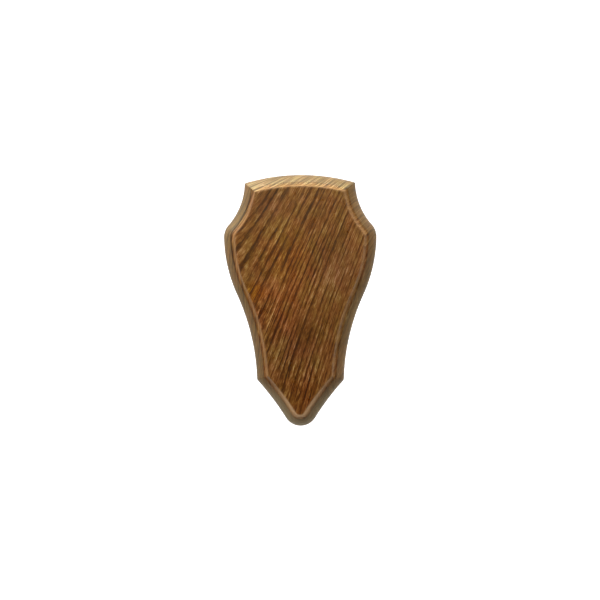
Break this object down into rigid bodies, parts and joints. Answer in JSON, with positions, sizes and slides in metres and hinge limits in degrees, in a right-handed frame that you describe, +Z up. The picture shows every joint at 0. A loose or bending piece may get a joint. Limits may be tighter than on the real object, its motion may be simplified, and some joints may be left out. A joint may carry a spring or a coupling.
{
  "type": "antler mounting plaque",
  "caption": "Shield-shaped wall plaque of dark-stained oak for a pair of small antlers, with a cove and bead edge and a keyhole slot in its back.",
  "frame": {"origin": "middle of the flat back face, where the plaque lies against the wall", "axes": "+Z up the plaque as it hangs, +Y out of its back into the wall, +X to the viewer's right"},
  "size_m": [0.1216, 0.018, 0.2],
  "materials": {
    "stained_oak": "satin"
  },
  "bodies": {
    "root": {"plaque": "stained_oak"}
  },
  "joints": []
}
